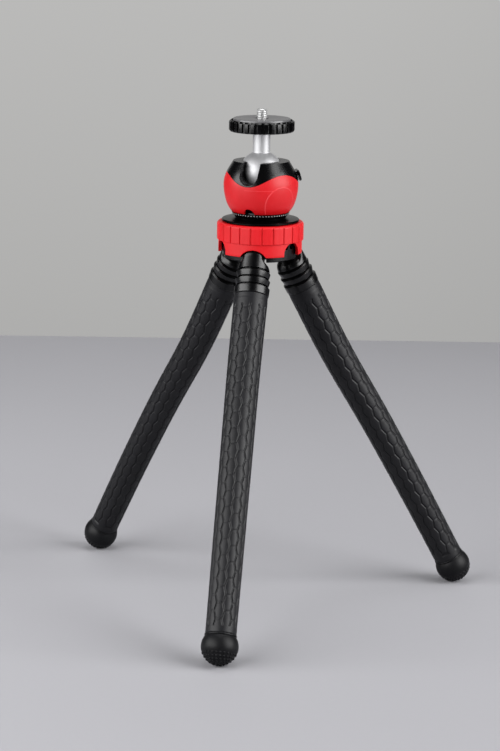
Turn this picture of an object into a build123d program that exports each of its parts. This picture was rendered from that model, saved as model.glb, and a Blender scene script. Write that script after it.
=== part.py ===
"""Flexible-leg mini tripod with a small ball head.

Millimetres. +Z is up, the origin is on the floor plane, on the axis of the head and the leg
ring. The front leg leaves the hub along -Y, the other two at 120 degrees to either side of it.
"""
from build123d import *

import math
import os

os.makedirs("parts", exist_ok=True)

# ---- driving dimensions ---------------------------------------------------------------------
# camera plate and screw
screw_r = 3.175            # 1/4 inch camera screw, major radius
screw_top_z, screw_neck_r = 302.7, 2.7
pad_r, pad_hole_r, pad_top_z, pad_bottom_z = 17.64, 3.9, 297.05, 295.0
plate_r, plate_top_z, plate_bottom_z = 19.65, 296.3, 289.25
plate_ribs, rib_groove_w, rib_groove_d = 30, 1.5, 0.75
# ball and stem
ball_z, ball_r, stem_r, stem_top_z = 264.6, 13.0, 5.2, 291.9
seat_gap, socket_gap = 0.05, 0.3
# head housing
rim_z, rim_r, head_bottom_z = 271.7, 16.8, 241.2
cover_t = 2.0              # wall of the lower cover
bore_r, bore_low_r = 14.8, 13.2
floor_z0, floor_z1, ledge_z = 241.8, 245.9, 250.8
wave_mean_z, wave_amp, wave_r, wave_high_az = 262.0, 3.6, 22.0, 49.0
slot_az, slot_w, slot_centre_z = -11.5, 11.4, 264.8
notch_az, notch_r = -12.0, 3.1
# lock knob
knob_az, knob_tilt, knob_r, knob_z = 109.0, 17.0, 21.65, 262.7
knob_len, knob_wid, knob_t, knob_gap = 13.0, 6.6, 1.25, 0.35
knob_socket = 0.7          # depth of the screw's seat in the knob
# head base
base_z, base_r, flange_r, flange_z, boss_r, boss_top_z = 235.4, 23.25, 17.3, 241.0, 9.05, 246.2
# leg ring
ring_top_z, band_z, skirt_z = 235.2, 224.4, 216.6
band_r, skirt_r, skirt_in_r, lip_r = 26.1, 25.2, 23.2, 19.5
ring_lobes, lobe_az = 24, 12.5
wide_arch_r, wide_arch_z = 9.0, 212.05
tall_arch_r, tall_arch_z = 6.5, 217.9
# hub
hub_r, hub_shoulder_z, hub_split_z, hub_bottom_z, hub_boss_r = 22.6, 231.5, 215.4, 213.2, 19.2
pivot_r, pivot_z, pin_r, pin_half = 13.41, 221.8, 1.5, 12.0
lug_half, lug_r, lug_end = 5.85, 9.3, 13.35   # lug of a leg root: half width, reach, length down the leg
lug_out_r, lug_ledge_z = 22.85, 216.3         # it stays inside the skirt, and below it further out
neck_r, neck_slot_w, neck_slot_z = 5.9, 12.4, 228.0
# legs
splay = 27.88              # of the leg roots, from straight down
root_len, bend_gap, bend_bevel = 78.0, 5.0, 0.8
collar_end, sleeve_r0, sleeve_slope = 31.3, 10.355, 0.00572
core_r, knuckle_r, core_top = 4.0, 5.5, 14.0
foot_r, foot_lip = 11.0, 7.2
legs = {  # azimuth from -Y towards +X, second and third bend, foot centre
    "front": (0.0, (1.58, -78.00, 109.19), (2.62, -104.14, 64.25), (3.68, -133.32, 11.0)),
    "right": (120.0, (68.38, 34.13, 108.32), (91.81, 44.10, 62.98), (117.67, 55.46, 11.0)),
    "left": (-120.0, (-67.66, 42.00, 110.15), (-90.43, 57.10, 65.91), (-117.09, 74.59, 11.0)),
}


def out_dir(az):
    """Unit vector from the head axis, az degrees from -Y towards +X."""
    a = math.radians(az)
    return Vector(math.sin(a), -math.cos(a), 0)


def side_dir(az):
    """Unit vector along which the azimuth grows."""
    a = math.radians(az)
    return Vector(math.cos(a), math.sin(a), 0)


def save(part, label):
    part.label = label
    export_step(part, f"parts/{label}.step")


XZ = Plane(origin=(0, 0, 0), x_dir=(1, 0, 0), z_dir=(0, -1, 0))  # sketch x = radius, y = height
HEAD_AXIS = Axis((0, 0, 0), (0, 0, 1))
# drop slot, half-round notch and lock knob each have a plane that looks out of the head
slot_plane = Plane(origin=(0, 0, slot_centre_z), x_dir=side_dir(slot_az), z_dir=out_dir(slot_az))
notch_plane = Plane(
    origin=(0, 0, head_bottom_z + 0.35), x_dir=side_dir(notch_az), z_dir=out_dir(notch_az)
)
knob_rise = math.radians(knob_tilt)
knob_n = out_dir(knob_az) * math.cos(knob_rise) + Vector(0, 0, math.sin(knob_rise))
knob_o = out_dir(knob_az) * knob_r + Vector(0, 0, knob_z)
knob_plane = Plane(origin=knob_o, x_dir=side_dir(knob_az), z_dir=knob_n)

# ---- camera screw ---------------------------------------------------------------------------
with BuildPart() as camera_screw:
    with BuildSketch(XZ) as screw_profile:
        with BuildLine():
            Polyline(
                (0, 284.0), (2.5, 284.0), (2.5, 292.1), (5.0, 292.1), (5.0, 293.7),
                (screw_neck_r, 293.7), (screw_neck_r, pad_top_z), (screw_r, pad_top_z),
                (screw_r, screw_top_z - 0.6), (screw_r - 0.6, screw_top_z),
                (0, screw_top_z), (0, 284.0),
            )
        make_face()
    revolve(axis=HEAD_AXIS)
save(camera_screw.part, "camera_screw")

# ---- camera plate: ribbed disc with a recess for the pad ---------------------------------------
with BuildPart() as camera_plate:
    with BuildSketch(XZ) as plate_profile:
        with BuildLine():
            Polyline(
                (screw_neck_r, 293.7), (screw_neck_r, pad_bottom_z), (18.2, pad_bottom_z),
                (18.2, plate_top_z), (19.2, plate_top_z), (plate_r, plate_top_z - 0.45),
                (plate_r, plate_bottom_z + 0.9), (18.9, plate_bottom_z), (5.3, plate_bottom_z),
                (5.3, 292.1), (5.0, 292.1), (5.0, 293.7), (screw_neck_r, 293.7),
            )
        make_face()
    revolve(axis=HEAD_AXIS)
    with BuildSketch(Plane.XY.offset(plate_bottom_z - 1)) as rib_grooves:
        with PolarLocations(plate_r, plate_ribs, start_angle=6):
            Rectangle(2 * rib_groove_d, rib_groove_w)
    extrude(amount=plate_top_z - plate_bottom_z + 2, mode=Mode.SUBTRACT)
save(camera_plate.part, "camera_plate")

# ---- plate pad --------------------------------------------------------------------------------
with BuildPart() as plate_pad:
    with BuildSketch(Plane.XY.offset(pad_bottom_z)):
        Circle(pad_r)
        Circle(pad_hole_r, mode=Mode.SUBTRACT)
    extrude(amount=pad_top_z - pad_bottom_z)
    chamfer(plate_pad.edges().group_by(Axis.Z)[-1].sort_by(SortBy.RADIUS)[-1], 0.25)
save(plate_pad.part, "plate_pad")

# ---- ball with stem ---------------------------------------------------------------------------
with BuildPart() as ball_stem:
    with Locations((0, 0, ball_z)):
        Sphere(ball_r)
    with BuildSketch(Plane.XY.offset(ball_z)):
        Circle(stem_r)
    extrude(amount=stem_top_z - ball_z)
    with BuildSketch(Plane.XY.offset(283.6)):
        Circle(2.55)
    extrude(amount=stem_top_z - 283.6, mode=Mode.SUBTRACT)
    fillet(
        ball_stem.edges().filter_by(GeomType.CIRCLE)
        .filter_by(lambda e: 276.0 < e.center().Z < 277.5), 0.5
    )
save(ball_stem.part, "ball_stem")

# ---- ball cup: the friction seat round the lower half of the ball --------------------------------
with BuildPart() as ball_cup:
    with BuildSketch(Plane.XY.offset(251.1)):
        Circle(14.5)
    extrude(amount=261.5 - 251.1)
    with Locations((0, 0, ball_z)):
        Sphere(ball_r + seat_gap, mode=Mode.SUBTRACT)
    with BuildSketch(Plane.XY.offset(250.0)):
        Circle(6.0)
    extrude(amount=6.0, mode=Mode.SUBTRACT)
    with BuildSketch(slot_plane):
        Circle(slot_w / 2)
    extrude(amount=20, mode=Mode.SUBTRACT)
save(ball_cup.part, "ball_cup")

# ---- head housing ------------------------------------------------------------------------------
outline = [
    (rim_r, rim_z), (18.25, 269.3), (19.9, 266.5), (21.54, 262.9), (22.35, 259.2),
    (22.39, 255.6), (21.6, 250.2), (19.75, 244.7), (17.3, head_bottom_z),
]
inner_outline = [(r - cover_t, z) for r, z in outline[:-1]] + [(15.6, floor_z0)]

# everything below the wavy line: a three-lobed saddle surface carried down as a block
high, across = out_dir(wave_high_az), side_dir(wave_high_az)


def wave_z(x, y):
    u, v = x * high.X + y * high.Y, x * across.X + y * across.Y
    return wave_mean_z + wave_amp * (u**3 - 3 * u * v * v) / wave_r**3


steps = [-28 + 4 * i for i in range(15)]
wave_face = Face.make_surface_from_array_of_points(
    [[Vector(x, y, wave_z(x, y)) for y in steps] for x in steps], tol=0.005, min_deg=3, max_deg=5
)
with BuildPart() as below_wave:
    extrude(wave_face, amount=60, dir=(0, 0, -1))

with BuildPart() as cover_blank:
    with BuildSketch(XZ):
        with BuildLine():
            edge = Spline(*outline)
            Polyline(edge @ 1, (0, head_bottom_z), (0, rim_z), edge @ 0)
        make_face()
    revolve(axis=HEAD_AXIS)
    with BuildSketch(XZ):
        with BuildLine():
            edge = Spline(*inner_outline)
            Polyline(
                edge @ 1, (15.6, head_bottom_z - 1), (0, head_bottom_z - 1), (0, rim_z + 1),
                (inner_outline[0][0], rim_z + 1), edge @ 0,
            )
        make_face()
    revolve(axis=HEAD_AXIS, mode=Mode.SUBTRACT)
    add(below_wave.part, mode=Mode.INTERSECT)

with BuildPart() as head_lower_cover:
    add(cover_blank.part)
    with BuildSketch(slot_plane):
        Circle(slot_w / 2)
    extrude(amount=30, mode=Mode.SUBTRACT)
    with BuildSketch(notch_plane):
        Circle(notch_r)
    extrude(amount=30, mode=Mode.SUBTRACT)
    with BuildSketch(knob_plane.offset(-12)):  # clearance for the screw of the lock knob
        Circle(2.4)
    extrude(amount=15, mode=Mode.SUBTRACT)
save(head_lower_cover.part, "head_lower_cover")

with BuildPart() as head_housing:
    with BuildSketch(XZ):
        with BuildLine():
            edge = Spline(*outline)
            Polyline(edge @ 1, (15.6, head_bottom_z), (15.6, floor_z0), (0, floor_z0), (0, rim_z), edge @ 0)
        make_face()
    revolve(axis=HEAD_AXIS)
    add(cover_blank.part, mode=Mode.SUBTRACT)
    with BuildSketch(XZ):  # chambers from the floor up to the socket
        with BuildLine():
            Polyline(
                (0, floor_z0 - 1), (boss_r + 0.1, floor_z0 - 1), (boss_r + 0.1, floor_z1),
                (bore_low_r, floor_z1), (bore_low_r, ledge_z), (bore_r, ledge_z), (bore_r, 262.0),
                (0, 262.0), (0, floor_z0 - 1),
            )
        make_face()
    revolve(axis=HEAD_AXIS, mode=Mode.SUBTRACT)
    with Locations((0, 0, ball_z)):
        Sphere(ball_r + socket_gap, mode=Mode.SUBTRACT)
    with BuildSketch(slot_plane):  # drop slot for the stem, open at the rim
        Circle(slot_w / 2)
        with Locations((0, 10)):
            Rectangle(slot_w, 20)
    extrude(amount=30, mode=Mode.SUBTRACT)
    with BuildSketch(knob_plane.offset(-12)):
        Circle(2.05)
    extrude(amount=15, mode=Mode.SUBTRACT)
save(head_housing.part, "head_housing")

# ---- lock knob and its screw ---------------------------------------------------------------------
with BuildPart() as lock_knob:
    with BuildSketch(knob_plane.offset(knob_gap)):
        SlotOverall(knob_len, knob_wid)
    extrude(amount=knob_t)
    fillet(lock_knob.faces().sort_by(Axis(knob_o, knob_n))[-1].edges(), 0.4)
    with BuildSketch(knob_plane.offset(knob_gap)):
        Circle(2.0)
    extrude(amount=knob_socket, mode=Mode.SUBTRACT)
save(lock_knob.part, "lock_knob")

with BuildPart() as knob_screw:
    with BuildSketch(knob_plane.offset(-6.7)):
        Circle(2.0)
    extrude(amount=6.7 + knob_gap + knob_socket)
save(knob_screw.part, "knob_screw")

# ---- head base, pan washer, retainer, pan screw ----------------------------------------------------
with BuildPart() as head_base:
    with BuildSketch(XZ):
        with BuildLine():
            Polyline(
                (0, base_z), (22.9, base_z), (base_r, base_z + 0.3), (base_r, 236.5), (22.95, 236.85),
                (15.9, 237.5), (15.4, 237.9), (16.1, 239.4), (flange_r, 239.8), (flange_r, flange_z),
                (boss_r, flange_z), (boss_r, boss_top_z), (0, boss_top_z), (0, base_z),
            )
        make_face()
    revolve(axis=HEAD_AXIS)
    with BuildSketch(Plane.XY.offset(base_z)):
        Circle(screw_r)
    extrude(amount=3.8, mode=Mode.SUBTRACT)
    with BuildSketch(Plane.XY.offset(240.2)):
        Circle(2.5)
    extrude(amount=7, mode=Mode.SUBTRACT)
save(head_base.part, "head_base")

with BuildPart() as pan_washer:
    with BuildSketch(Plane.XY.offset(flange_z)):
        Circle(15.0)
        Circle(boss_r, mode=Mode.SUBTRACT)
    extrude(amount=0.75)
save(pan_washer.part, "pan_washer")

with BuildPart() as pan_retainer:
    with BuildSketch(Plane.XY.offset(boss_top_z)):
        Circle(12.5)
        Circle(2.5, mode=Mode.SUBTRACT)
    extrude(amount=1.2)
save(pan_retainer.part, "pan_retainer")

with BuildPart() as pan_screw:
    with BuildSketch(Plane.XY.offset(240.2)):
        Circle(2.5)
    extrude(amount=247.4 - 240.2)
    with BuildSketch(Plane.XY.offset(247.4)):
        Circle(4.5)
    extrude(amount=2.8)
    with BuildSketch(Plane.XY.offset(248.6)):
        RegularPolygon(1.73, 6)
    extrude(amount=2.0, mode=Mode.SUBTRACT)
save(pan_screw.part, "pan_screw")

# ---- leg ring ------------------------------------------------------------------------------------
with BuildPart() as leg_ring:
    with BuildSketch(XZ):
        with BuildLine():
            Polyline(
                (skirt_in_r, skirt_z), (skirt_r - 0.3, skirt_z), (skirt_r, skirt_z + 0.3),
                (skirt_r, band_z), (band_r - 0.3, band_z), (band_r, band_z + 0.3),
                (band_r, 234.1), (25.1, ring_top_z), (lip_r, ring_top_z), (lip_r, 231.7),
                (skirt_in_r, 231.7), (skirt_in_r, skirt_z),
            )
        make_face()
    revolve(axis=HEAD_AXIS)
    with BuildSketch(Plane.XY.offset(band_z - 0.01)):  # grooves between the finger lobes
        with PolarLocations(band_r, ring_lobes, start_angle=-90 + lobe_az):
            Rectangle(1.2, 0.9)
    extrude(amount=12, mode=Mode.SUBTRACT)
    for az in (0, 120, 240):  # wide arches over the legs
        with BuildSketch(Plane(origin=(0, 0, wide_arch_z), x_dir=side_dir(az), z_dir=out_dir(az))):
            Circle(wide_arch_r)
        extrude(amount=30, mode=Mode.SUBTRACT)
    for az in (60, 180, 300):  # tall arches half way between them
        with BuildSketch(Plane(origin=(0, 0, tall_arch_z), x_dir=side_dir(az), z_dir=out_dir(az))):
            Circle(tall_arch_r)
            with Locations((0, -2)):
                Rectangle(2 * tall_arch_r, 4)
        extrude(amount=30, mode=Mode.SUBTRACT)
save(leg_ring.part, "leg_ring")

# ---- hub body, cover, screws, stud -----------------------------------------------------------------
with BuildPart() as hub_body:
    with BuildSketch(Plane.XY.offset(hub_split_z)):
        Circle(hub_r)
    extrude(amount=hub_shoulder_z - hub_split_z)
    with BuildSketch(Plane.XY.offset(hub_shoulder_z)):
        Circle(hub_boss_r)
    extrude(amount=base_z - hub_shoulder_z)
    for az in (0, 120, 240):  # slots in which the leg necks swing, and the bores of their pins
        back_of_slot = out_dir(az) * (pivot_r - neck_r - 0.35)
        with BuildSketch(Plane(origin=back_of_slot, x_dir=side_dir(az), z_dir=out_dir(az))):
            with Locations((0, (hub_split_z - 1 + neck_slot_z) / 2)):
                Rectangle(neck_slot_w, neck_slot_z - hub_split_z + 1)
        extrude(amount=20, mode=Mode.SUBTRACT)
        pivot = out_dir(az) * pivot_r + Vector(0, 0, pivot_z)
        with BuildSketch(Plane(origin=pivot, x_dir=out_dir(az), z_dir=side_dir(az))):
            Circle(pin_r)
        extrude(amount=25, both=True, mode=Mode.SUBTRACT)
    with BuildSketch(Plane.XY.offset(hub_split_z - 1)):
        Circle(5.6)
    extrude(amount=218.6 - hub_split_z + 1, mode=Mode.SUBTRACT)
    with BuildSketch(Plane.XY.offset(hub_split_z - 1)):
        Circle(screw_r)
    extrude(amount=30, mode=Mode.SUBTRACT)
    with BuildSketch(Plane.XY.offset(hub_split_z - 1)):
        with PolarLocations(16.5, 3, start_angle=-30):
            Circle(1.25)
    extrude(amount=222.0 - hub_split_z + 1, mode=Mode.SUBTRACT)
save(hub_body.part, "hub_body")

with BuildPart() as hub_cover:
    with BuildSketch(Plane.XY.offset(hub_bottom_z)):
        Circle(21.8)
    extrude(amount=hub_split_z - hub_bottom_z)
    chamfer(hub_cover.edges().group_by(Axis.Z)[0], 0.7)
    for az in (0, 120, 240):
        with BuildSketch(Plane(origin=out_dir(az) * 6.7, x_dir=side_dir(az), z_dir=out_dir(az))):
            with Locations((0, hub_split_z)):
                Rectangle(14.8, 8)
        extrude(amount=20, mode=Mode.SUBTRACT)
    with BuildSketch(Plane.XY.offset(hub_bottom_z)):
        with PolarLocations(16.5, 3, start_angle=-30):
            Circle(1.25)
    extrude(amount=3, mode=Mode.SUBTRACT)
    with BuildSketch(Plane.XY.offset(hub_bottom_z)):
        with PolarLocations(16.5, 3, start_angle=-30):
            Circle(2.3)
    extrude(amount=1.4, mode=Mode.SUBTRACT)
    with BuildSketch(Plane.XY.offset(hub_bottom_z)):
        Circle(3.6)
    extrude(amount=3, mode=Mode.SUBTRACT)
save(hub_cover.part, "hub_cover")

with BuildPart() as hub_cover_screws:
    with BuildSketch(Plane.XY.offset(hub_bottom_z + 1.4)):
        with PolarLocations(16.5, 3, start_angle=-30):
            Circle(1.25)
    extrude(amount=222.0 - hub_bottom_z - 1.4)
    with BuildSketch(Plane.XY.offset(hub_bottom_z + 0.1)):
        with PolarLocations(16.5, 3, start_angle=-30):
            Circle(2.2)
    extrude(amount=1.3)
    with BuildSketch(Plane.XY.offset(hub_bottom_z + 0.1)):
        with PolarLocations(16.5, 3, start_angle=-30):
            Rectangle(2.6, 0.5)
            Rectangle(0.5, 2.6)
    extrude(amount=0.9, mode=Mode.SUBTRACT)
save(hub_cover_screws.part, "hub_cover_screws")

with BuildPart() as hub_stud:
    with BuildSketch(Plane.XY.offset(215.5)):
        Circle(5.5)
    extrude(amount=3.1)
    with BuildSketch(Plane.XY.offset(218.6)):
        Circle(screw_r)
    extrude(amount=239.0 - 218.6)
    with BuildSketch(Plane.XY.offset(215.5)):
        RegularPolygon(2.75, 6)
    extrude(amount=2.0, mode=Mode.SUBTRACT)
save(hub_stud.part, "hub_stud")

with BuildPart() as leg_pins:
    for az in (0, 120, 240):
        pivot = out_dir(az) * pivot_r + Vector(0, 0, pivot_z)
        with BuildSketch(Plane(origin=pivot, x_dir=out_dir(az), z_dir=side_dir(az))):
            Circle(pin_r)
        extrude(amount=pin_half, both=True)
save(leg_pins.part, "leg_pins")

# ---- legs -----------------------------------------------------------------------------------------
names = ("top", "upper", "lower", "end")
for leg, (az, second, third, foot) in legs.items():
    out, side = out_dir(az), side_dir(az)
    tilt = math.radians(splay)
    start = out * pivot_r + Vector(0, 0, pivot_z)
    first = start + (out * math.sin(tilt) - Vector(0, 0, math.cos(tilt))) * root_len
    points = [start, first, Vector(*second), Vector(*third), Vector(*foot)]
    done = 0.0  # leg length above the segment

    for i in range(4):
        here, there = points[i], points[i + 1]
        along = (there - here).normalized()
        length = (there - here).length
        radial = (out - along * out.dot(along)).normalized()
        sheet = Plane(origin=here, x_dir=radial, z_dir=radial.cross(along))
        spine = Axis(here, along)
        if i == 0:  # moulded root: knuckle, neck, lug, flare, three strain-relief rings
            radial_plane = Plane(origin=(0, 0, 0), x_dir=out, z_dir=out.cross(Vector(0, 0, 1)))
            with BuildPart() as lug:  # flat-sided and rounded outside, it fills the wide arch
                with BuildSketch(radial_plane):
                    with BuildLine():
                        bulge = CenterArc((pivot_r, pivot_z), lug_r, 0, 24)
                        end = start + along * lug_end
                        tip = end + radial * (lug_r - 0.1)
                        reach = (tip.Z - lug_ledge_z) / along.Z  # back up the leg to the ledge
                        corner = tip - along * reach
                        Polyline(
                            bulge @ 1, (18.4, 227.4), (pivot_r, pivot_z + neck_r), (pivot_r, pivot_z),
                            (end.dot(out), end.Z), (tip.dot(out), tip.Z),
                            (corner.dot(out), lug_ledge_z), (pivot_r + lug_r, lug_ledge_z), bulge @ 0,
                        )
                    make_face()
                extrude(amount=lug_half, both=True)
                with BuildSketch(Plane(origin=start - along * 9, x_dir=side, z_dir=along)):
                    Circle(lug_r)
                extrude(amount=9 + lug_end, mode=Mode.INTERSECT)
                with BuildSketch(Plane.XY.offset(lug_ledge_z)):
                    Circle(40)
                    Circle(lug_out_r, mode=Mode.SUBTRACT)
                extrude(amount=15, mode=Mode.SUBTRACT)
            with BuildPart() as collar:
                with BuildSketch(sheet):
                    with BuildLine():
                        CenterArc((0, 0), neck_r, -90, 90)
                        Polyline(
                            (neck_r, 0), (neck_r, 9.6), (9.05, 13.0), (9.35, 13.4), (9.3, 14.0),
                            (8.85, 15.8), (8.2, 16.05), (8.25, 16.45), (10.25, 17.05), (9.45, 20.6),
                            (8.6, 20.85), (8.6, 21.15), (10.5, 21.75), (9.6, 25.3), (8.8, 25.55),
                            (8.8, 25.85), (10.7, 26.45), (10.5, 30.9), (10.3, collar_end), (core_r, collar_end),
                            (core_r, core_top), (0, core_top), (0, -neck_r),
                        )
                    make_face()
                revolve(axis=spine)
                add(lug.part)
                with BuildSketch(Plane(origin=start, x_dir=out, z_dir=side)):
                    Circle(pin_r + 0.05)
                extrude(amount=neck_r + 1, both=True, mode=Mode.SUBTRACT)
            save(collar.part, f"{leg}_leg_collar")

        s0 = collar_end if i == 0 else bend_gap
        s1 = length - foot_lip if i == 3 else length - bend_gap
        r0 = sleeve_r0 - sleeve_slope * (done + s0)
        r1 = sleeve_r0 - sleeve_slope * (done + s1)
        upper_end = [(r0, s0)] if i == 0 else [(r0 - bend_bevel, s0), (r0, s0 + bend_bevel)]
        lower_end = [(r1, s1)] if i == 3 else [(r1, s1 - bend_bevel), (r1 - bend_bevel, s1)]
        with BuildPart() as sleeve:
            with BuildSketch(sheet):
                with BuildLine():
                    Polyline((core_r, s0), *upper_end, *lower_end, (core_r, s1), (core_r, s0))
                make_face()
            revolve(axis=spine)
        save(sleeve.part, f"{leg}_leg_sleeve_{names[i]}")

        c0 = core_top if i == 0 else knuckle_r + 0.3
        c1 = length + 3.0 if i == 3 else length
        with BuildPart() as core:
            with BuildSketch(Plane(origin=here + along * c0, x_dir=radial, z_dir=along)):
                Circle(core_r)
            extrude(amount=c1 - c0)
            if i < 3:
                with Locations(there):
                    Sphere(knuckle_r)
        save(core.part, f"{leg}_leg_core_{names[i]}")

        if i == 3:  # foot: lip, shallow groove, ball
            a0 = math.degrees(math.acos(6.1 / foot_r))
            with BuildPart() as foot_cap:
                with BuildSketch(sheet):
                    with BuildLine():
                        ball = CenterArc((0, length), foot_r, 90, -(180 - a0))
                        Polyline(
                            ball @ 1, (9.05, length - 6.1), (9.3, length - 6.3),
                            (9.3, length - foot_lip), (core_r, length - foot_lip),
                            (core_r, length + 3.0), (0, length + 3.0), ball @ 0,
                        )
                    make_face()
                revolve(axis=spine)
            save(foot_cap.part, f"{leg}_leg_foot")
        done += length
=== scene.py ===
"""Looks of the mini tripod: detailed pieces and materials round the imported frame, lights, floor, camera."""
import math

import bmesh
import bpy
import numpy as np
from mathutils import Matrix, Vector
from mathutils.bvhtree import BVHTree


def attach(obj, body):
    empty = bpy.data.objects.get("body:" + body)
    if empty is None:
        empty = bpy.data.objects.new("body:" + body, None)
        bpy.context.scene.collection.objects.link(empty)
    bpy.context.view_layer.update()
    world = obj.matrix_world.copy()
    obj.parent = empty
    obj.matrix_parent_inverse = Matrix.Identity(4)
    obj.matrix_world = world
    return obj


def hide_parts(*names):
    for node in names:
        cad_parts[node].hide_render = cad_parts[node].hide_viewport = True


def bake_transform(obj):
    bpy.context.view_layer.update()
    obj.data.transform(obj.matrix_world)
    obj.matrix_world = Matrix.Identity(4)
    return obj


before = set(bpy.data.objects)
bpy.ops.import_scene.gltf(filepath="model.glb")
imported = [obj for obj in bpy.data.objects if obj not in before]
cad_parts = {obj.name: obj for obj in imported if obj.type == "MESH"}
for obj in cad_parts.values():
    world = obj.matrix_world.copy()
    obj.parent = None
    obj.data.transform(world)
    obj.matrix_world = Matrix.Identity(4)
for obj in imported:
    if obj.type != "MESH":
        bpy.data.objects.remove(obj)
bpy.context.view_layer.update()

MM = 0.001
Z = np.array([0.0, 0.0, 1.0])


# ---- small vector helpers (millimetres) -------------------------------------------------------
def unit(v):
    v = np.asarray(v, float)
    return v / np.linalg.norm(v)


def out_dir(az):
    a = math.radians(az)
    return np.array([math.sin(a), -math.cos(a), 0.0])


def side_dir(az):
    a = math.radians(az)
    return np.array([math.cos(a), math.sin(a), 0.0])


def fillet(points, radius=0.2, steps=3):
    """Rounds the corners of an open outline, never by more than 0.45 of the shorter run beside a corner."""
    pts = [np.array(p, float) for p in points]
    res = [pts[0]]
    for a, b, c in zip(pts, pts[1:], pts[2:]):
        la, lc = np.linalg.norm(a - b), np.linalg.norm(c - b)
        cut = min(radius, 0.45 * la, 0.45 * lc)
        p, q = b + (a - b) / la * cut, b + (c - b) / lc * cut
        for t in np.linspace(0, 1, steps + 1):
            res.append((1 - t) ** 2 * p + 2 * t * (1 - t) * b + t * t * q)
    res.append(pts[-1])
    return np.array(res)


def grid_faces(rows, cols, closed_rows=False, first=0):
    """Quads of a grid whose columns close on themselves."""
    faces = []
    for i in range(rows if closed_rows else rows - 1):
        i2 = (i + 1) % rows
        for j in range(cols):
            j2 = (j + 1) % cols
            faces.append((first + i * cols + j, first + i * cols + j2,
                          first + i2 * cols + j2, first + i2 * cols + j))
    return faces


def lathe(outline, count, origin=(0, 0, 0), axis=(0, 0, 1), ref=(1, 0, 0), closed=False, shape=None):
    """Revolves an outline of (radius, height). shape(angle, radius, height) may change the radius."""
    axis = unit(axis)
    ref = unit(np.asarray(ref, float) - axis * (np.asarray(ref, float) @ axis))
    third = np.cross(axis, ref)
    ang = np.arange(count) * 2 * math.pi / count
    rows = []
    for r, h in outline:
        rr = np.full(count, float(r)) if shape is None else shape(ang, r, h)
        rows.append(np.asarray(origin, float) + axis * h + rr[:, None] * (np.cos(ang)[:, None] * ref + np.sin(ang)[:, None] * third))
    verts = np.vstack(rows)
    faces = grid_faces(len(outline), count, closed)
    if not closed:
        for k, order in ((0, -1), (len(outline) - 1, 1)):
            if outline[k][0] > 0.02:
                faces.append(tuple(range(k * count, (k + 1) * count))[::order])
    return verts, faces


def make(name, parts, mat, sharp=32.0, normals=None):
    """One mesh object from [(verts in mm, faces), ...]."""
    verts, faces, n = [], [], 0
    for v, f in parts:
        verts.append(np.asarray(v, float))
        faces += [tuple(i + n for i in face) for face in f]
        n += len(v)
    me = bpy.data.meshes.new(name)
    me.from_pydata((np.vstack(verts) * MM).tolist(), [], faces)
    me.validate()
    bm = bmesh.new()
    bm.from_mesh(me)
    bmesh.ops.remove_doubles(bm, verts=bm.verts, dist=1e-7)
    bmesh.ops.recalc_face_normals(bm, faces=bm.faces)
    bm.to_mesh(me)
    bm.free()
    me.polygons.foreach_set("use_smooth", [True] * len(me.polygons))
    me.set_sharp_from_angle(angle=math.radians(sharp))
    ob = bpy.data.objects.new(name, me)
    bpy.context.scene.collection.objects.link(ob)
    me.materials.append(mat)
    return ob


def place(ob, body, slot, *nodes):
    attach(ob, body)
    if nodes:
        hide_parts(*nodes)
    return ob


# ---- materials --------------------------------------------------------------------------------
def lin(c):
    return tuple((x / 255 / 12.92) if x / 255 <= 0.04045 else ((x / 255 + 0.055) / 1.055) ** 2.4 for x in c)


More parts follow.
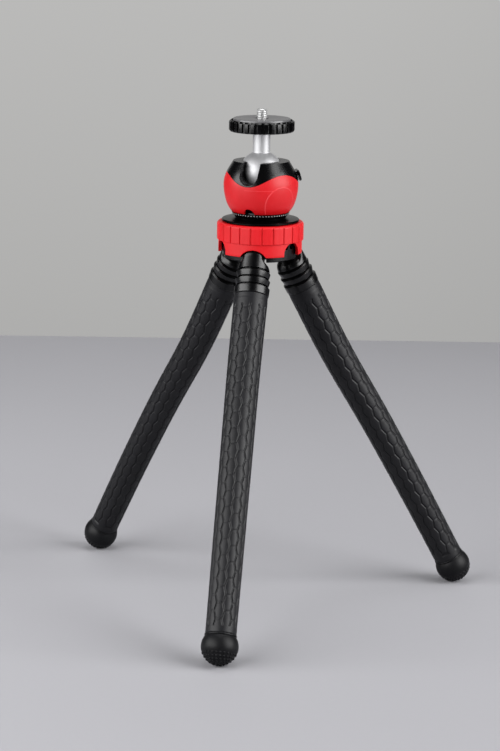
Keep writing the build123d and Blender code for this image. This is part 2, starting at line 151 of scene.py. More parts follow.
def material(name, colour, other=None, rough=(0.4, 0.5), metal=0.0, coat=0.0, coat_rough=0.08, spec=0.5,
             mottle=120.0, grain=2500.0, bump=0.05, bump_depth=0.00003, stretch=(1, 1, 1), edge=0.0, groove=0.0):
    """Principled surface with mottled colour, uneven roughness and a fine grain, all from object coordinates."""
    m = bpy.data.materials.new(name)
    m.use_nodes = True
    nt = m.node_tree
    shader = nt.nodes["Principled BSDF"]
    shader.inputs["Metallic"].default_value = metal
    shader.inputs["Coat Weight"].default_value = coat
    shader.inputs["Coat Roughness"].default_value = coat_rough
    shader.inputs["Specular IOR Level"].default_value = spec
    coord = nt.nodes.new("ShaderNodeTexCoord")
    mapping = nt.nodes.new("ShaderNodeMapping")
    mapping.inputs["Scale"].default_value = stretch
    nt.links.new(coord.outputs["Object"], mapping.inputs["Vector"])

    def noise(scale, detail):
        n = nt.nodes.new("ShaderNodeTexNoise")
        n.inputs["Scale"].default_value = scale
        n.inputs["Detail"].default_value = detail
        nt.links.new(mapping.outputs["Vector"], n.inputs["Vector"])
        return n

    broad, fine = noise(mottle, 4.0), noise(grain, 3.0)
    ramp = nt.nodes.new("ShaderNodeValToRGB")
    other = other or tuple(c * 0.8 for c in colour)
    ramp.color_ramp.elements[0].color = (*other, 1)
    ramp.color_ramp.elements[1].color = (*colour, 1)
    ramp.color_ramp.elements[0].position = 0.3
    ramp.color_ramp.elements[1].position = 0.65
    nt.links.new(broad.outputs["Fac"], ramp.inputs["Fac"])
    colour_out = ramp.outputs["Color"]
    # painted shade: the colour is darkened in the relief's channels, where shade falls
    if groove:  # darker in the channels of a relief
        depth = nt.nodes.new("ShaderNodeAttribute")
        depth.attribute_name = "groove"
        mix = nt.nodes.new("ShaderNodeMix")
        mix.data_type = "RGBA"
        mix.inputs["B"].default_value = (*(c * groove for c in colour), 1)
        nt.links.new(depth.outputs["Fac"], mix.inputs["Factor"])
        nt.links.new(colour_out, mix.inputs["A"])
        colour_out = mix.outputs["Result"]
    nt.links.new(colour_out, shader.inputs["Base Color"])
    span = nt.nodes.new("ShaderNodeMapRange")
    span.inputs["To Min"].default_value = rough[0]
    span.inputs["To Max"].default_value = rough[1]
    nt.links.new(fine.outputs["Fac"], span.inputs["Value"])
    nt.links.new(span.outputs["Result"], shader.inputs["Roughness"])
    bumps = nt.nodes.new("ShaderNodeBump")
    bumps.inputs["Strength"].default_value = bump
    bumps.inputs["Distance"].default_value = bump_depth
    nt.links.new(fine.outputs["Fac"], bumps.inputs["Height"])
    if edge:  # softly broken edges of mouldings and turned parts
        soft = nt.nodes.new("ShaderNodeBevel")
        soft.samples = 4
        soft.inputs["Radius"].default_value = edge
        nt.links.new(soft.outputs["Normal"], bumps.inputs["Normal"])
    nt.links.new(bumps.outputs["Normal"], shader.inputs["Normal"])
    return m


M = {
    # the sleeve rubber keeps 0.68 of its colour in the relief channels: painted shade
    "leg_rubber": material("leg_rubber_look", (0.0130, 0.0130, 0.0143), (0.0100, 0.0100, 0.0110), rough=(0.40, 0.52),
                           spec=0.25, mottle=90, grain=1800, bump=0.25, groove=0.68),
    "foot_rubber": material("foot_rubber_look", (0.0080, 0.0080, 0.0088), (0.006, 0.006, 0.0066), rough=(0.42, 0.54),
                            spec=0.2, mottle=120, grain=1500, bump=0.25),
    "collar_black": material("collar_black_look", (0.0022, 0.0022, 0.0025), rough=(0.27, 0.33), spec=0.42,
                             mottle=200, grain=900, bump=0.06),
    "black_gloss": material("black_gloss_look", (0.0020, 0.0020, 0.0023), rough=(0.17, 0.24), spec=0.34,
                            mottle=200, grain=900, bump=0.05, edge=0.0003),
    "base_black": material("base_black_look", (0.0015, 0.0015, 0.0018), rough=(0.26, 0.32), spec=0.16,
                           mottle=200, grain=900, bump=0.05),
    "plate_black": material("plate_black_look", (0.0020, 0.0020, 0.0023), rough=(0.22, 0.28), spec=0.38,
                            mottle=200, grain=900, bump=0.05),
    "housing_black": material("housing_black_look", (0.0022, 0.0022, 0.0025), rough=(0.26, 0.29), spec=0.36,
                              mottle=200, grain=900, bump=0.01, edge=0.0004),
    "cover_red": material("cover_red_look", (0.52, 0.013, 0.017), (0.49, 0.012, 0.015), rough=(0.40, 0.48), spec=0.28,
                          coat=0.04, coat_rough=0.25, mottle=150, grain=3000, bump=0.1, edge=0.0003),
    # lighter red for the raised lines on the cover: a painted highlight along them
    "cover_ridge_highlight": material("cover_ridge_highlight_look", (0.62, 0.032, 0.038), (0.58, 0.026, 0.032), rough=(0.38, 0.46), spec=0.45,
                           mottle=150, grain=3000, bump=0.1),
    "ring_red": material("ring_red_look", (0.57, 0.013, 0.017), (0.54, 0.012, 0.015), rough=(0.42, 0.5), spec=0.26,
                         coat=0.03, coat_rough=0.25, mottle=150, grain=3000, bump=0.1, edge=0.0002),
    "ball_metal": material("ball_metal_look", (0.50, 0.50, 0.51), (0.475, 0.475, 0.485), rough=(0.48, 0.54), metal=0.72,
                           mottle=60, grain=1200, bump=0.05, stretch=(1, 1, 6)),
    "screw_steel": material("screw_steel_look", (0.55, 0.55, 0.55), (0.50, 0.50, 0.50), rough=(0.36, 0.44), metal=0.75,
                            mottle=300, grain=3000, bump=0.05),
    "inner_steel": material("inner_steel_look", (0.45, 0.45, 0.46), rough=(0.3, 0.42), metal=1.0, mottle=200),
    "pad_rubber": material("pad_rubber_look", (0.100, 0.099, 0.104), (0.086, 0.085, 0.089), rough=(0.30, 0.38), spec=0.6,
                           mottle=250, grain=2500, bump=0.2),
    "core_metal": material("core_metal_look", (0.62, 0.62, 0.63), rough=(0.35, 0.5), metal=1.0, mottle=200),
    "inner_plastic": material("inner_plastic_look", (0.03, 0.03, 0.031), rough=(0.4, 0.5), mottle=200),
    "tick_white": material("tick_look", (0.62, 0.62, 0.62), (0.5, 0.5, 0.5), rough=(0.5, 0.6), mottle=900),
}

# every carried-over node gets the look of its piece
look_of = {"camera_screw": "screw_steel", "plate_pad": "pad_rubber", "camera_plate": "plate_black",
           "ball_stem": "ball_metal", "ball_cup": "inner_plastic", "head_housing": "housing_black",
           "head_lower_cover": "cover_red", "lock_knob": "black_gloss", "knob_screw": "inner_steel",
           "head_base": "base_black", "pan_washer": "inner_plastic", "pan_retainer": "inner_steel",
           "pan_screw": "inner_steel", "leg_ring": "ring_red", "hub_body": "collar_black",
           "hub_cover": "collar_black", "hub_cover_screws": "inner_steel", "hub_stud": "inner_steel",
           "leg_pins": "inner_steel"}
for node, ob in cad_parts.items():
    key = look_of.get(node)
    if key is None:
        key = "core_metal" if "_core_" in node else "foot_rubber" if node.endswith("foot") else \
              "collar_black" if node.endswith("collar") else "leg_rubber"
    if not ob.material_slots:
        ob.data.materials.append(M[key])
    for s in ob.material_slots:
        s.material = M[key]

# ---- camera screw: threaded top, neck, flange, pin ------------------------------------------------
pitch, major, minor = 1.27, 3.17, 2.5
rows, cols = 130, 96
zz = np.linspace(296.9, 302.7, rows)
ang = np.arange(cols) * 2 * math.pi / cols
thread = []
for h in zz:
    ph = ((h - 296.9) / pitch - ang / (2 * math.pi)) % 1.0
    tooth = np.clip(1.9 - np.abs(ph - 0.5) * 2 * 1.9, 0, 1)  # flat crest, sloped flanks
    r = minor + (major - minor) * tooth
    r = np.minimum(r, 2.5 + max(0.0, (302.7 - h)) * 1.1)
    thread.append(np.c_[r * np.cos(ang), r * np.sin(ang), np.full(cols, h)])
v = np.vstack(thread + [np.array([[0, 0, 302.62]])])
f = grid_faces(rows, cols)
top = (rows - 1) * cols
f += [(top + j, top + (j + 1) % cols, rows * cols) for j in range(cols)]
shank = lathe(fillet([(0, 284.0), (2.5, 284.0), (2.5, 292.1), (5.0, 292.1), (5.0, 293.7), (2.7, 293.7), (2.7, 297.0)], 0.15), 64)
place(make("screw_threaded", [(v, f), shank], M["screw_steel"], 40), "plate", "screw_steel", "camera_screw")

# ---- plate pad: soft disc with a rolled edge and faint turning rings ------------------------------
ring_rows = [(3.9, 295.05), (3.9, 296.8), (4.15, 297.05)]
for k in range(1, 40):
    r = 4.3 + (16.7 - 4.3) * k / 40
    ring_rows.append((r, 297.05 - (0.025 if k % 2 else 0.0)))
ring_rows += [(16.85, 297.04), (17.05, 296.93), (17.15, 296.75), (17.15, 295.05)]
v, f = lathe(ring_rows, 128, closed=True)
place(make("pad_soft", [(v, f)], M["pad_rubber"], 60), "plate", "pad_rubber", "plate_pad")

# ---- camera plate: ribbed rim -----------------------------------------------------------------
ribs, seg = 30, 24


def ribbed(ang, r, h):
    a = (np.degrees(ang) - 6.0 + 180.0 / ribs) % (360.0 / ribs) - 180.0 / ribs
    d = np.clip((np.abs(a) * 0.343 - 0.62) / 0.42, 0, 1)  # 0 in the groove, 1 on the rib
    d = d * d * (3 - 2 * d)
    keep = 18.65
    return np.where(r > keep, keep + (r - keep) * d, r) + 0 * ang


plate_outline = fillet([(2.75, 295.0), (18.1, 295.0), (18.25, 296.1), (18.4, 296.1), (19.65, 295.1),
                        (19.65, 290.2), (18.9, 289.25), (5.3, 289.25), (5.3, 292.1)], 0.22)
v, f = lathe(plate_outline, ribs * seg, shape=ribbed)
f = [x for x in f if len(x) == 4]
place(make("plate_ribbed", [(v, f)], M["plate_black"], 38), "plate", "plate_black", "camera_plate")

# ---- pan scale: tick marks printed round the flange of the head base -------------------------------
ticks_v, ticks_f = [], []
for k in range(60):
    az = 6.0 * k + 3.0
    o, s = out_dir(az), side_dir(az)
    w, z0, z1 = 0.15, 239.95, 240.6
    n = len(ticks_v)
    for du, dz, dr in ((-w, z0, 0), (w, z0, 0), (w, z1, 0), (-w, z1, 0), (-w * 0.7, z0 + 0.05, 0.03), (w * 0.7, z0 + 0.05, 0.03),
                       (w * 0.7, z1 - 0.05, 0.03), (-w * 0.7, z1 - 0.05, 0.03)):
        ticks_v.append(o * (17.29 + dr) + s * du + Z * dz)
    ticks_f += [(n + 4, n + 5, n + 6, n + 7), (n, n + 1, n + 5, n + 4), (n + 1, n + 2, n + 6, n + 5),
                (n + 2, n + 3, n + 7, n + 6), (n + 3, n, n + 4, n + 7)]
place(make("pan_scale", [(np.array(ticks_v), ticks_f)], M["tick_white"]), "hub", "inner_plastic")

# ---- head cover: thin raised outline and the mould's parting line --------------------------------
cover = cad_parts["head_lower_cover"]
shell = BVHTree.FromPolygons([cover.matrix_world @ v.co for v in cover.data.vertices], [tuple(p.vertices) for p in cover.data.polygons])


def ridge(path, half, height):
    """A low ridge on the cover, along points of (azimuth, z)."""
    pts, nor = [], []
    for az, z in path:
        o = out_dir(az)
        place_at, normal, _, _ = shell.ray_cast(Vector((o * 60 + Z * z) * MM), Vector(-o))
        if place_at is None or (place_at.xy.length < 0.0165):
            continue
        pts.append(np.array(place_at) / MM)
        nor.append(unit(np.array(normal) * (1 if normal.dot(Vector(o)) > 0 else -1)))
    vs = []
    for i, (q, nn) in enumerate(zip(pts, nor)):
        along = unit(pts[min(i + 1, len(pts) - 1)] - pts[max(i - 1, 0)])
        b = unit(np.cross(along, nn))
        for du, dn in ((-half, -0.06), (-half * 0.45, height), (half * 0.45, height), (half, -0.06)):
            vs.append(q + b * du + nn * dn)
    return np.array(vs), [(4 * i + j, 4 * i + j + 1, 4 * i + j + 5, 4 * i + j + 4) for i in range(len(pts) - 1) for j in range(3)]


oval = [(45.0 + 27.5 * math.cos(math.radians(a)), 246.0 + 12.0 * math.sin(math.radians(a))) for a in range(-60, 241, 3)]
parting = [(a, 256.2) for a in np.linspace(-16.0, 30.0, 40)]
# the ridges take a lighter red than the cover: painted highlight
place(make("cover_marks", [ridge(oval, 0.45, 0.12), ridge(parting, 0.22, 0.05)], M["cover_ridge_highlight"], 20), "head", "cover_red")

# ---- leg ring: lobed grip band over the arched skirt -----------------------------------------------
def lobes(ang, r, h):
    a = (np.degrees(ang) - 12.5 + 7.5) % 15.0 - 7.5  # from the nearest groove
    x = np.abs(a) * 0.4555  # mm
    cut = np.clip(1.0 - (x - 0.15) / 0.6, 0, 1)
    cut = 0.62 * cut * cut * (3 - 2 * cut) + 0.10 * (np.abs(a) / 7.5) ** 2
    return np.minimum(r, 26.1 - cut)


band = lathe(fillet([(24.6, 224.4), (25.85, 224.4), (26.1, 224.75), (26.1, 233.95), (25.75, 234.6), (25.1, 235.2), (19.5, 235.2),
                     (19.5, 231.7), (22.9, 231.7)], 0.3, 4), 24 * 30, ref=(0, -1, 0), shape=lobes)
band = (band[0], [q for q in band[1] if len(q) == 4])
skirt_v, skirt_f, columns = [], [], []


def arch_column(centre, w, low):
    return lambda R: (centre + math.degrees(math.asin(w / R)), low)


def plain_column(c0, w0, c1, w1, k):
    return lambda R: ((1 - k) * (c0 + math.degrees(math.asin(w0 / R))) + k * (c1 + math.degrees(math.asin(w1 / R))), 216.6)


for turn in (0, 120, 240):
    reach = math.sqrt(81 - (216.6 - 212.05) ** 2)
    for a in np.linspace(-1, 1, 41):
        w = reach * math.sin(a * math.pi / 2)
        columns.append(arch_column(turn, w, max(216.6, 212.05 + math.sqrt(81 - w * w))))
    columns += [plain_column(turn, reach, turn + 60, -6.5, k) for k in np.linspace(0.05, 0.95, 19)]
    columns.append(arch_column(turn + 60, -6.5, 216.6))
    for a in np.linspace(-90, 90, 37):
        w = 6.5 * math.sin(math.radians(a))
        columns.append(arch_column(turn + 60, w, 217.9 + 6.5 * math.cos(math.radians(a))))
    columns.append(arch_column(turn + 60, 6.5, 216.6))
    columns += [plain_column(turn + 60, 6.5, turn + 120, -reach, k) for k in np.linspace(0.05, 0.95, 19)]
for column in columns:
    low = column(25.2)[1]
    line = [(25.2, low + (224.8 - low) * k / 6) for k in range(6, 0, -1)]
    line += [(25.2, low + 0.3), (25.11, low + 0.09), (24.9, low), (23.5, low), (23.29, low + 0.09), (23.2, low + 0.3)]
    line += [(23.2, low + 0.3 + (231.8 - low - 0.3) * k / 4) for k in range(1, 5)]
    for R, z in line:
        skirt_v.append(out_dir(column(R)[0]) * R + Z * z)
rows_n = len(line)
for i in range(len(columns)):
    i2 = (i + 1) % len(columns)
    skirt_f += [(i * rows_n + j, i * rows_n + j + 1, i2 * rows_n + j + 1, i2 * rows_n + j) for j in range(rows_n - 1)]
place(make("ring_lobed", [band, (np.array(skirt_v), skirt_f)], M["ring_red"], 34), "ring", "ring_red", "leg_ring")

# ---- legs -------------------------------------------------------------------------------------
PIVOT_R, PIVOT_Z, SPLAY, ROOT = 13.41, 221.8, 27.88, 78.0
COLLAR_END, FOOT_R, FOOT_LIP = 31.3, 11.0, 7.2
legs = {
    "front": (0.0, (1.58, -78.00, 109.19), (2.62, -104.14, 64.25), (3.68, -133.32, 11.0)),
    "right": (120.0, (68.38, 34.13, 108.32), (91.81, 44.10, 62.98), (117.67, 55.46, 11.0)),
    "left": (-120.0, (-67.66, 42.00, 110.15), (-90.43, 57.10, 65.91), (-117.09, 74.59, 11.0)),
}
relief_turn = {"front": (156.0, -16.5), "right": (142.0, -21.0), "left": (140.0, -21.0)}  # where a column of scales lies
camera_at = np.array([246.71, -1399.16, 459.59])
PITCH, COLUMNS = 9.375, 12


def collar_outline():
    rows = [(4.0, 6.0), (5.9, 6.0), (5.9, 9.6), (8.6, 12.6), (9.35, 14.2), (9.65, 15.75), (8.6, 15.95), (8.6, 16.2)]
    for top, s, low in ((10.2, 17.2, 9.5), (10.45, 21.9, 9.65), (10.65, 26.6, 10.45)):
        rows += [(top, s), (top, s + 0.12), (low, s + 3.35), (low - 0.9, s + 3.55), (low - 0.9, s + 3.75)]
    rows = rows[:-3] + [(10.45, 30.9), (10.25, 31.25), (4.0, 31.3)]
    return fillet(rows, 0.13, 3)


def sleeve_radius(s):
    return 10.355 - 0.00572 * s


def relief(s, psi, total):
    """How far the surface lies below the scale tops, in mm. s: along the leg, psi: degrees round it from a column."""
    width = 360.0 / COLUMNS
    near = np.round(psi / width)
    best = None
    for step in (-1, 0, 1):  # a scale can reach past half way to the next column
        f = scale_field(s, psi, near + step, width, total)
        best = f if best is None else np.minimum(best, f)
    lo, hi = 37.9, total - FOOT_LIP - 3.6  # plain bands above and below the scales
    edge = np.clip(np.minimum(s - lo, hi - s) / 0.5, 0, 1)
    return np.where(edge > 0, best, 0.0) * edge * edge * (3 - 2 * edge)


def scale_field(s, psi, col, width, total):
    a = psi - col * width
    first = 40.6 + np.where(col % 2 == 0, 0.0, PITCH / 2)
    k = np.round((s - first) / PITCH)
    centre = first + k * PITCH
    x = np.abs(s - centre)
    inside = (k >= np.where(col % 2 == 0, 0, -1)) & (centre <= total - 9.8)
    ends = 4.30 - x
    sides = (17.7 - 1.8 * x - np.abs(a)) * 0.178  # degrees to mm
    t_side = np.clip(sides / 0.42, 0, 1)
    t_end = np.clip(ends / 0.4, 0, 1)
    t_side = t_side * t_side * (3 - 2 * t_side)
    t_end = 1 - 0.5 * (1 - t_end * t_end * (3 - 2 * t_end))
    crown = 0.07 * np.clip(1 - (np.abs(a) / 15.0) ** 2, 0, 1)
    field = 0.38 * (1 - t_side * t_end) + 0.07 - crown
    return np.where(inside, field, 0.45)


def ball_radius(lat):
    """The foot draws in under its pips, so that they stand out on the lower half."""
    k = min(1.0, max(0.0, (math.degrees(lat) - 8.0) / 22.0))
    return FOOT_R - 0.17 - 0.33 * k * k * (3 - 2 * k)


for leg, (az, second, third, foot) in legs.items():
    out = out_dir(az)
    t = math.radians(SPLAY)
    start = out * PIVOT_R + Z * PIVOT_Z
    first = start + (out * math.sin(t) - Z * math.cos(t)) * ROOT
    P = [start, first, np.array(second), np.array(third), np.array(foot)]
    seg_len = [np.linalg.norm(b - a) for a, b in zip(P, P[1:])]
    dirs = [(b - a) / l for a, b, l in zip(P, P[1:], seg_len)]
    at = np.r_[0, np.cumsum(seg_len)]
    total = at[-1]
    bend_half = 21.0

    def centre(s):
        """Centreline: straight runs with the three bends eased over 2 x bend_half."""
        for i in (1, 2, 3):
            if abs(s - at[i]) < bend_half:
                a, c = P[i] - dirs[i - 1] * bend_half, P[i] + dirs[i] * bend_half
                u = (s - at[i] + bend_half) / (2 * bend_half)
                p = (1 - u) ** 2 * a + 2 * u * (1 - u) * P[i] + u * u * c
                d = (1 - u) * (P[i] - a) + u * (c - P[i])
                return p, unit(d)
        i = int(np.clip(np.searchsorted(at, s) - 1, 0, 3))
        return P[i] + dirs[i] * (s - at[i]), dirs[i]

    # stations along the sleeve, and a frame carried along without twist
    s0, s1 = COLLAR_END, total - FOOT_LIP
    step = PITCH / 20
    stations = [s0, s0 + 0.12, s0 + 0.3]
    s = s0 + 0.6
    while s < s1 - 0.4:
        stations.append(s)
        s += step
    stations += [s1 - 0.2, s1]
    cuts = [104.0, 156.0]
    for c in cuts:
        k = int(np.argmin([abs(x - c) for x in stations]))
        stations[k] = c
    ref = unit(out - dirs[0] * (out @ dirs[0]))
    frames, tangent = [], dirs[0]
    for s in stations:
        p, d = centre(s)
        ref = unit(ref - d * (ref @ d))
        frames.append((p, d, ref, np.cross(d, ref)))
    # turn the columns of scales as the photograph shows them
    where, turn = relief_turn[leg]
    k = int(np.argmin([abs(x - where) for x in stations]))
    p, d, u, w = frames[k]
    look = camera_at - p
    look = unit(look - d * (look @ d))
    phi = math.degrees(math.atan2(look @ w, look @ u)) + turn
    around = COLUMNS * 18
    ang = np.arange(around) * 2 * math.pi / around
    psi = (np.degrees(ang) - phi + 180.0) % 360.0 - 180.0
    surface, channel_shade = [], []
    for s, (p, d, u, w) in zip(stations, frames):
        low = relief(np.full(around, s), psi, total)
        # painted shade mask: 1 in the deep channels between the scales, where the colour is darkened
        channel_shade.append(np.clip((low - 0.13) / 0.32, 0, 1))
        r = sleeve_radius(s) - low
        if s < 37.9:  # plain band under the collar: a small step
            r = r - 0.10 * (s < 34.6)
        if s <= s0 + 0.01 or s >= s1 - 0.01:
            r = r - 0.22
        surface.append(p + r[:, None] * (np.cos(ang)[:, None] * u + np.sin(ang)[:, None] * w))
    surface, channel_shade = np.array(surface), np.array(channel_shade)
    # smooth normals of the whole sleeve, so that the three stretches meet without a line
    du = np.roll(surface, -1, 1) - np.roll(surface, 1, 1)
    ds = np.gradient(surface, axis=0)
    nrm = np.cross(ds, du)
    nrm /= np.linalg.norm(nrm, axis=2, keepdims=True)
    mid = np.array([fr[0] for fr in frames])[:, None, :]
    if np.mean(np.sum(nrm * (surface - mid), axis=2)) < 0:
        nrm = -nrm
    marks = [0] + [int(np.argmin([abs(x - c) for x in stations])) for c in cuts] + [len(stations) - 1]
    bodies = [f"{leg}_leg_root", f"{leg}_leg_upper", f"{leg}_leg_lower", f"{leg}_leg_end"]
    stand_for = [[f"{leg}_leg_sleeve_top"], [f"{leg}_leg_sleeve_upper"], [f"{leg}_leg_sleeve_lower", f"{leg}_leg_sleeve_end"]]
    for n, name in enumerate(("root", "mid", "tip")):
        lo, hi = marks[n], marks[n + 1]
        verts = surface[lo:hi + 1].reshape(-1, 3)
        me = bpy.data.meshes.new(f"{leg}_sleeve_{name}")
        faces = grid_faces(hi - lo + 1, around)
        # outside faces look outwards
        a, b, c = (verts[faces[0][i]] for i in (0, 1, 2))
        if np.cross(b - a, c - a) @ nrm[lo, 0] < 0:
            faces = [x[::-1] for x in faces]
        me.from_pydata((verts * MM).tolist(), [], faces)
        me.polygons.foreach_set("use_smooth", [True] * len(me.polygons))
        me.normals_split_custom_set_from_vertices(nrm[lo:hi + 1].reshape(-1, 3).tolist())
        me.attributes.new("groove", "FLOAT", "POINT").data.foreach_set("value", channel_shade[lo:hi + 1].ravel())
        me.materials.append(M["leg_rubber"])
        ob = bpy.data.objects.new(f"{leg}_sleeve_{name}", me)
        bpy.context.scene.collection.objects.link(ob)
        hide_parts(*stand_for[n])
        i = n + 1
        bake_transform(ob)

    # collar: turned part and the flat-sided lug that fills the arch
    turned = lathe(collar_outline(), 144, origin=start, axis=dirs[0], ref=out, closed=True)
    side = side_dir(az)
    normal = out * math.cos(t) + Z * math.sin(t)
    theta = np.radians(np.arange(0, 360, 5))[:, None]
    reach = np.arange(0.0, 12.0, 0.04)[None, :]
    n_at, w_at = 1.5 + np.cos(theta) * reach, np.sin(theta) * reach
    hood, stations_h = [], np.linspace(-5.0, 15.6, 84)
    for s in stations_h:
        ease = min(1.0, max(0.0, (s - 9.0) / 6.6))
        r_at = np.hypot(PIVOT_R + math.sin(t) * s + math.cos(t) * n_at, w_at)
        z_at = PIVOT_Z - math.cos(t) * s + math.sin(t) * n_at
        f = np.sqrt(min(s, 0.0) ** 2 + n_at ** 2 + w_at ** 2) - (9.4 + 0.25 * ease)
        inside_ring = np.minimum(r_at - 22.85, np.minimum(np.hypot(w_at, z_at - 212.05) - 8.7, z_at - 216.2))
        flank = 5.85 + 3.8 * ease * ease * (3 - 2 * ease)
        for g in (np.abs(w_at) - flank, inside_ring, z_at - 227.3, -n_at - 2.0):
            f = np.maximum(f, g) + np.maximum(1.0 - np.abs(f - g), 0) ** 2 / 4.0
        k = np.argmax(f > 0, axis=1)
        k = np.maximum(k, 1)
        f0, f1 = f[np.arange(len(k)), k - 1], f[np.arange(len(k)), k]
        d = reach[0, k - 1] + 0.04 * np.clip(-f0 / np.maximum(f1 - f0, 1e-9), 0, 1)
        n_s, w_s = 1.5 + np.cos(theta[:, 0]) * d, np.sin(theta[:, 0]) * d
        hood.append(start + dirs[0] * s + normal * n_s[:, None] + side * w_s[:, None])
    count = len(theta)
    lug_f = grid_faces(len(hood), count) + [tuple(range(count))[::-1], tuple(range((len(hood) - 1) * count, len(hood) * count))]
    lug_part = (np.vstack(hood), lug_f)
    place(make(f"{leg}_collar", [turned, lug_part], M["collar_black"], 28), bodies[0], "black_gloss", f"{leg}_leg_collar")

    # foot: lip, step, ball with small pips
    L = seg_len[3]
    a0 = math.acos(6.1 / FOOT_R)
    prof = [(4.0, L - FOOT_LIP), (9.05, L - FOOT_LIP), (9.3, L - FOOT_LIP + 0.3), (9.3, L - 6.35), (9.12, L - 6.15)]
    for k in range(41):
        a = a0 + (math.pi - a0) * k / 40
        r = ball_radius(a - math.pi / 2)
        prof.append((max(r * math.sin(a), 0.01), L - r * math.cos(a)))
    foot_axis = dirs[3]
    ball = lathe(prof, 128, origin=P[3], axis=foot_axis, ref=out)
    pips = []
    u = unit(out - foot_axis * (out @ foot_axis))
    w = np.cross(foot_axis, u)
    for lat, count in ((24, 26), (36, 24), (48, 20), (60, 15), (72, 9), (84, 3)):
        for j in range(count):
            a = 2 * math.pi * (j + (0.5 if int(lat) % 2 else 0)) / count
            d = unit(foot_axis * math.sin(math.radians(lat)) + (u * math.cos(a) + w * math.sin(a)) * math.cos(math.radians(lat)))
            tip = P[4] + d * FOOT_R
            e1 = unit(np.cross(d, Z + 0.01 * u))
            e2 = np.cross(d, e1)
            ringv = []
            low = ball_radius(math.radians(lat)) - 0.06 - FOOT_R
            for rad, hgt in ((0.72, low), (0.6, low * 0.5), (0.34, low * 0.1)):
                for q in range(10):
                    b = 2 * math.pi * q / 10
                    ringv.append(P[4] + d * (FOOT_R + hgt) + (e1 * math.cos(b) + e2 * math.sin(b)) * rad)
            ringv.append(tip)
            fs = grid_faces(3, 10) + [(20 + q, 20 + (q + 1) % 10, 30) for q in range(10)]
            pips.append((np.array(ringv), fs))
    place(make(f"{leg}_foot", [ball] + pips, M["foot_rubber"], 40), bodies[3], "leg_rubber", f"{leg}_leg_foot")

# ---- floor and backdrop -------------------------------------------------------------------------
cam_az = math.degrees(math.atan2(camera_at[0] + 4.88, -camera_at[1] - 0.86))
# the backdrop is no lamp yet glows; its glow is painted, with painted shade towards the bottom and the right
edge_y, wall_y = 777.0, 4500.0  # the far edge of the floor, and the lit backdrop well behind it
WALL, FLOOR = (0.489, 0.487, 0.480), (0.411, 0.408, 0.432)
back, across_dir = -out_dir(cam_az), side_dir(cam_az)


def sheet(name, prof, mat):
    vs = [tuple((across_dir * x + back * y + Z * z) * MM) for x in np.linspace(-2600, 2600, 40) for y, z in prof]
    n = len(prof)
    fs = [(i * n + j, (i + 1) * n + j, (i + 1) * n + j + 1, i * n + j + 1) for i in range(39) for j in range(n - 1)]
    me = bpy.data.meshes.new(name)
    me.from_pydata(vs, [], fs)
    me.materials.append(mat)
    ob = bpy.data.objects.new(name, me)
    bpy.context.scene.collection.objects.link(ob)


def fade(nt, axis, start, end, shade, socket):
    """Paints shade into a colour: multiplies it by shade, from start to end (metres) along an axis."""
    coord = nt.nodes.new("ShaderNodeTexCoord")
    parts_of = nt.nodes.new("ShaderNodeSeparateXYZ")
    span = nt.nodes.new("ShaderNodeMapRange")
    span.inputs["From Min"].default_value = start
    span.inputs["From Max"].default_value = end
    mix = nt.nodes.new("ShaderNodeMix")
    mix.data_type = "RGBA"
    mix.blend_type = "MULTIPLY"
    mix.inputs["B"].default_value = (shade, shade, shade, 1)
    nt.links.new(coord.outputs["Object"], parts_of.inputs["Vector"])
    nt.links.new(parts_of.outputs[axis], span.inputs["Value"])
    nt.links.new(span.outputs["Result"], mix.inputs["Factor"])
    nt.links.new(socket, mix.inputs["A"])
    return mix.outputs["Result"]


floor_look = material("floor_look", FLOOR, tuple(c * 0.99 for c in FLOOR), rough=(0.6, 0.7), spec=0.2, mottle=3, grain=300, bump=0.0)
nt = floor_look.node_tree
shader = nt.nodes["Principled BSDF"]
# painted shade on the floor: darker towards the camera and towards the right, standing in for uneven light
near = fade(nt, "Y", 0.7, -0.2, 0.87, shader.inputs["Base Color"].links[0].from_socket)
nt.links.new(fade(nt, "X", -0.27, 0.27, 0.87, near), shader.inputs["Base Color"])
wall_look = material("backdrop_look", WALL, tuple(c * 0.995 for c in WALL), rough=(0.8, 0.9), spec=0.1, mottle=1, grain=300, bump=0.0)
nt = wall_look.node_tree
shader = nt.nodes["Principled BSDF"]
plain = shader.inputs["Base Color"].links[0]
# painted light: the backdrop glows, darker towards the bottom and towards the right as painted shade
painted_glow = fade(nt, "Z", 0.08, -0.78, 0.86, fade(nt, "X", -0.6, 0.6, 0.87, plain.from_socket))
nt.links.remove(plain)
shader.inputs["Base Color"].default_value = (0.02, 0.02, 0.02, 1)
nt.links.new(painted_glow, shader.inputs["Emission Color"])
shader.inputs["Emission Strength"].default_value = 1.0
sheet("floor_top", [(-3500 + 100 * k, 0.0) for k in range(42)] + [(edge_y, 0.0), (edge_y, -25.0)], floor_look)
sheet("back_wall", [(wall_y, -1600 + 200 * k) for k in range(28)], wall_look)

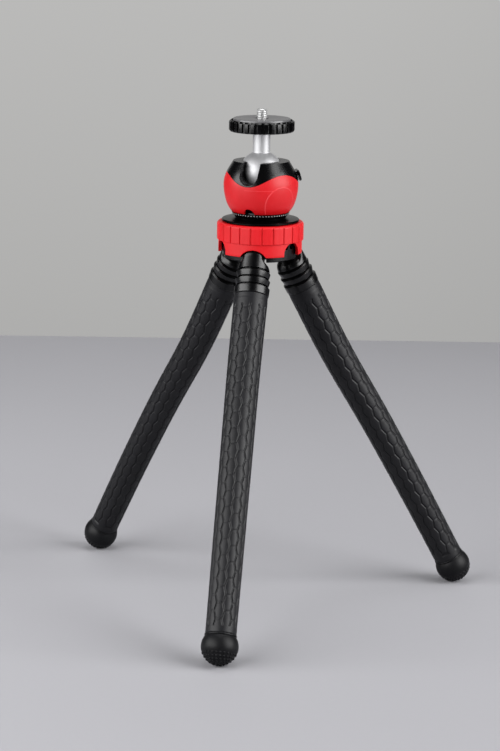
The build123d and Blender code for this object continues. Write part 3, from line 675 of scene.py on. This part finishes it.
# ---- lights -------------------------------------------------------------------------------------
def area(name, at_mm, to_mm, size, power, tint=(1, 1, 1)):
    d = bpy.data.lights.new(name, "AREA")
    d.shape = "RECTANGLE"
    d.size, d.size_y = size[0] * MM, size[1] * MM
    d.energy = power
    d.color = tint
    o = bpy.data.objects.new(name, d)
    bpy.context.scene.collection.objects.link(o)
    o.location = Vector(at_mm) * MM
    o.rotation_euler = (Vector(to_mm) - Vector(at_mm)).to_track_quat("-Z", "Y").to_euler()
    return o


def round_about(az, dist, z):
    return tuple(out_dir(cam_az + az) * dist + Z * z)


area("soft_left", round_about(-60, 1250, 640), (0, 0, 240), (1700, 950), 30)
area("soft_right", round_about(66, 1250, 640), (0, 0, 240), (1100, 950), 26)
area("soft_top", round_about(180, 150, 1700), (0, 0, 100), (1000, 800), 8)
area("soft_high", round_about(68, 1100, 1470), (0, 0, 260), (700, 450), 5.5)

world = bpy.data.worlds.new("room")
bpy.context.scene.world = world
world.use_nodes = True
world.node_tree.nodes["Background"].inputs["Color"].default_value = (0.95, 0.96, 1.0, 1)
world.node_tree.nodes["Background"].inputs["Strength"].default_value = 0.06
view = bpy.context.scene.view_settings
view.view_transform = "Standard"
view.use_curve_mapping = True  # the photograph's deep blacks
toe = view.curve_mapping.curves[3]
for x, y in ((0.012, 0.005), (0.03, 0.021), (0.06, 0.053), (0.12, 0.118), (0.25, 0.25)):
    toe.points.new(x, y)
for q in toe.points:
    q.handle_type = "VECTOR"
view.curve_mapping.update()

# ---- camera -------------------------------------------------------------------------------------
target = np.array([-4.882, -0.861, 139.667])
cam_data = bpy.data.cameras.new("camera")
cam = bpy.data.objects.new("camera", cam_data)
bpy.context.scene.collection.objects.link(cam)
fwd = unit(target - camera_at)
right = unit(np.cross(fwd, Z))
up = np.cross(right, fwd)
roll = math.radians(0.81)
right2 = right * math.cos(roll) + up * math.sin(roll)
up2 = -right * math.sin(roll) + up * math.cos(roll)
m = Matrix(((right2[0], up2[0], -fwd[0], camera_at[0] * MM),
            (right2[1], up2[1], -fwd[1], camera_at[1] * MM),
            (right2[2], up2[2], -fwd[2], camera_at[2] * MM),
            (0, 0, 0, 1)))
cam.matrix_world = m
cam_data.sensor_fit = "HORIZONTAL"
cam_data.sensor_width = 36.0
cam_data.lens = 171.78
cam_data.clip_start = 0.05
bpy.context.scene.camera = cam
